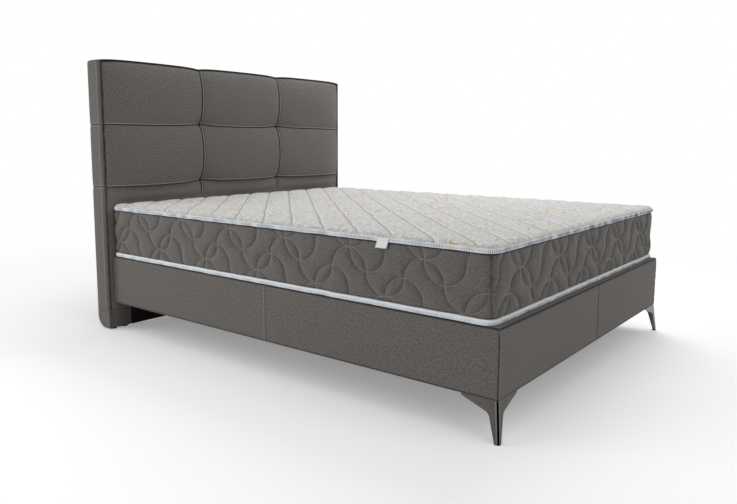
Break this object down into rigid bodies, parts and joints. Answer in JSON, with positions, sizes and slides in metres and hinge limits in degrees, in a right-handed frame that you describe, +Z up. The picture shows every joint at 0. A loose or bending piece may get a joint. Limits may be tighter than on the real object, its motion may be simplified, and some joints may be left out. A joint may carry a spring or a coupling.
{
  "type": "box spring bed",
  "caption": "Double box spring bed: sprung upholstered base on splayed metal legs, quilted mattress, and a tall headboard with tufted pads. The mattress lifts off.",
  "frame": {"origin": "on the floor, below the middle of the whole bed", "axes": "+X across the bed, +Y along the bed from the foot to the headboard, +Z up"},
  "size_m": [1.672, 2.147, 1.2738],
  "materials": {
    "quilted_border": "matt quilted stretch fabric, warm grey",
    "quilted_knit": "quilted white knit with fine ribs",
    "edge_tape": "white woven tape with dark stitches",
    "label_cloth": "plain white cloth",
    "comfort_foam": "open-cell foam",
    "needle_felt": "needled felt",
    "spring_pockets": "springs in non-woven pockets",
    "spring_wire": "drawn wire",
    "upholstery": "matt woven upholstery, warm grey",
    "welt": "self-covered raised seam",
    "backing_cloth": "dark non-woven cloth",
    "pine": "sawn pine",
    "board": "particle board",
    "smoked_metal": "smoked, glossy",
    "zinc_steel": "zinc plated",
    "black_plastic": "moulded"
  },
  "bodies": {
    "bed_frame": {"base_top_foam": "comfort_foam", "base_side_foam": "comfort_foam", "base_felt": "needle_felt", "base_spring_rows": "spring_pockets", "base_border_wires": "spring_wire", "base_cover": "upholstery", "base_top_cover": "upholstery", "headboard_upper_pads": "upholstery", "headboard_middle_pads": "upholstery", "headboard_lower_pads": "upholstery", "headboard_border": "upholstery", "headboard_foot_left": "upholstery", "headboard_foot_right": "upholstery", "headboard_welt": "welt", "headboard_back_cover": "backing_cloth", "base_dust_cover": "backing_cloth", "headboard_plinth_lining": "backing_cloth", "base_side_rail_left": "pine", "base_side_rail_right": "pine", "base_head_rail": "pine", "base_foot_rail": "pine", "base_corner_blocks": "pine", "base_ledgers": "pine", "base_centre_beam": "pine", "base_slats": "pine", "headboard_post_left": "pine", "headboard_post_right": "pine", "headboard_rails": "pine", "headboard_plinth": "pine", "headboard_panel": "board", "leg_front_left": "smoked_metal", "leg_front_right": "smoked_metal", "leg_screws": "zinc_steel", "headboard_bolts": "zinc_steel", "centre_support_legs": "black_plastic", "headboard_glides": "black_plastic"},
    "mattress": {"mattress_border": "quilted_border", "mattress_top_panel": "quilted_knit", "mattress_bottom_panel": "quilted_knit", "mattress_top_tape": "edge_tape", "mattress_bottom_tape": "edge_tape", "mattress_label": "label_cloth", "mattress_top_foam": "comfort_foam", "mattress_bottom_foam": "comfort_foam", "mattress_edge_foam": "comfort_foam", "mattress_top_felt": "needle_felt", "mattress_bottom_felt": "needle_felt", "mattress_spring_rows": "spring_pockets"}
  },
  "joints": [
    {"name": "mattress_lift", "type": "slide", "parent": "bed_frame", "child": "mattress", "axis": [0, -0.5, 0.866], "range_m": [0, 0.4]}
  ]
}
